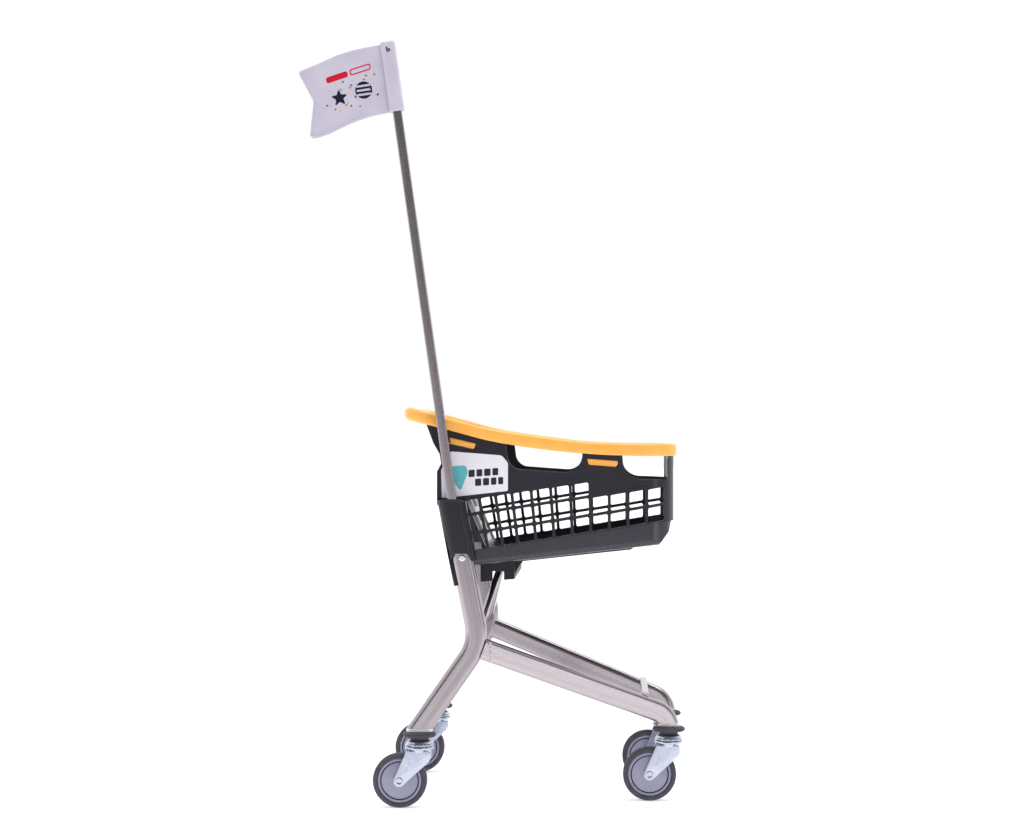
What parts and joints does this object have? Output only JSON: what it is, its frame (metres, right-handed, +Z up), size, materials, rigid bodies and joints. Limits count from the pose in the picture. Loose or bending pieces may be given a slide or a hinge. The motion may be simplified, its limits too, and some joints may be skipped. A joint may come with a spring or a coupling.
{
  "type": "child's shopping cart",
  "caption": "Small shopping cart for a child: plastic basket with a hinged rear gate on a flat-oval steel frame with swivel casters, and a tall pole with a flag.",
  "frame": {"origin": "floor level under the middle of the whole cart's length and width", "axes": "+X forwards, +Y to the cart's left, +Z up"},
  "size_m": [0.5374, 0.376, 1.0609],
  "materials": {
    "tyre_rubber": "grey non-marking rubber tread",
    "hub_plastic": "moulded grey polypropylene",
    "zinc_steel": "bright zinc-plated pressed steel",
    "bumper_rubber": "dark grey moulded bumper",
    "brushed_steel": "satin stainless flat-oval tube",
    "screw_steel": "plain stainless",
    "rim_plastic": "orange-yellow moulded plastic",
    "plug_plastic": "light grey moulded plug",
    "panel_plastic": "white printed panel",
    "label_plastic": "white printed label",
    "flag_plastic": "pale grey moulded plastic",
    "black_plastic": "black moulded plastic",
    "basket_plastic": "anthracite moulded plastic"
  },
  "bodies": {
    "cart": {"caster_stems": "zinc_steel", "swivel_balls": "zinc_steel", "rear_leg_right": "brushed_steel", "rear_leg_left": "brushed_steel", "front_leg_right": "brushed_steel", "front_leg_left": "brushed_steel", "rear_leg_plugs": "plug_plastic", "front_leg_plugs": "plug_plastic", "front_cross_tie": "brushed_steel", "brace_right": "brushed_steel", "brace_left": "brushed_steel", "basket_tub": "basket_plastic", "side_panel_right": "basket_plastic", "side_panel_left": "basket_plastic", "side_grille_right": "basket_plastic", "side_grille_left": "basket_plastic", "basket_front": "basket_plastic", "column_right": "basket_plastic", "column_left": "basket_plastic", "rim_handle": "rim_plastic", "support_beam": "black_plastic", "runners": "black_plastic", "ad_panel_right": "panel_plastic", "ad_panel_left": "panel_plastic", "gate_rod": "screw_steel", "leg_screws": "screw_steel", "pole_socket": "black_plastic", "column_cap": "black_plastic", "flag_pole": "brushed_steel", "flag": "flag_plastic", "flag_screw": "screw_steel", "swivel_cup_rear_right": "zinc_steel", "swivel_cup_rear_left": "zinc_steel", "swivel_cup_front_right": "zinc_steel", "swivel_cup_front_left": "zinc_steel", "bumper_disc_rear_right": "bumper_rubber", "bumper_disc_rear_left": "bumper_rubber", "bumper_disc_front_right": "bumper_rubber", "bumper_disc_front_left": "bumper_rubber"},
    "gate": {"rear_gate": "basket_plastic", "gate_label": "label_plastic"},
    "caster_rear_right": {"fork_rear_right": "zinc_steel", "axle_rear_right": "zinc_steel"},
    "wheel_rear_right": {"hub_rear_right": "hub_plastic", "tyre_rear_right": "tyre_rubber"},
    "caster_rear_left": {"fork_rear_left": "zinc_steel", "axle_rear_left": "zinc_steel"},
    "wheel_rear_left": {"hub_rear_left": "hub_plastic", "tyre_rear_left": "tyre_rubber"},
    "caster_front_right": {"fork_front_right": "zinc_steel", "axle_front_right": "zinc_steel"},
    "wheel_front_right": {"hub_front_right": "hub_plastic", "tyre_front_right": "tyre_rubber"},
    "caster_front_left": {"fork_front_left": "zinc_steel", "axle_front_left": "zinc_steel"},
    "wheel_front_left": {"hub_front_left": "hub_plastic", "tyre_front_left": "tyre_rubber"}
  },
  "joints": [
    {"name": "gate_swing", "type": "hinge", "parent": "cart", "child": "gate", "pos_m": [-0.07029, 0, 0.497], "axis": [0, -1, 0], "range_deg": [0, 60]},
    {"name": "swivel_rear_right", "type": "hinge", "parent": "cart", "child": "caster_rear_right", "pos_m": [-0.10029, -0.165, 0.08], "axis": [0, 0, 1], "continuous": true},
    {"name": "roll_rear_right", "type": "hinge", "parent": "caster_rear_right", "child": "wheel_rear_right", "pos_m": [-0.12729, -0.165, 0.0375], "axis": [0, 1, 0], "continuous": true},
    {"name": "swivel_rear_left", "type": "hinge", "parent": "cart", "child": "caster_rear_left", "pos_m": [-0.10029, 0.165, 0.08], "axis": [0, 0, 1], "continuous": true},
    {"name": "roll_rear_left", "type": "hinge", "parent": "caster_rear_left", "child": "wheel_rear_left", "pos_m": [-0.12729, 0.165, 0.0375], "axis": [0, 1, 0], "continuous": true},
    {"name": "swivel_front_right", "type": "hinge", "parent": "cart", "child": "caster_front_right", "pos_m": [0.24571, -0.091, 0.08], "axis": [0, 0, 1], "continuous": true},
    {"name": "roll_front_right", "type": "hinge", "parent": "caster_front_right", "child": "wheel_front_right", "pos_m": [0.21871, -0.091, 0.0375], "axis": [0, 1, 0], "continuous": true},
    {"name": "swivel_front_left", "type": "hinge", "parent": "cart", "child": "caster_front_left", "pos_m": [0.24571, 0.091, 0.08], "axis": [0, 0, 1], "continuous": true},
    {"name": "roll_front_left", "type": "hinge", "parent": "caster_front_left", "child": "wheel_front_left", "pos_m": [0.21871, 0.091, 0.0375], "axis": [0, 1, 0], "continuous": true}
  ]
}
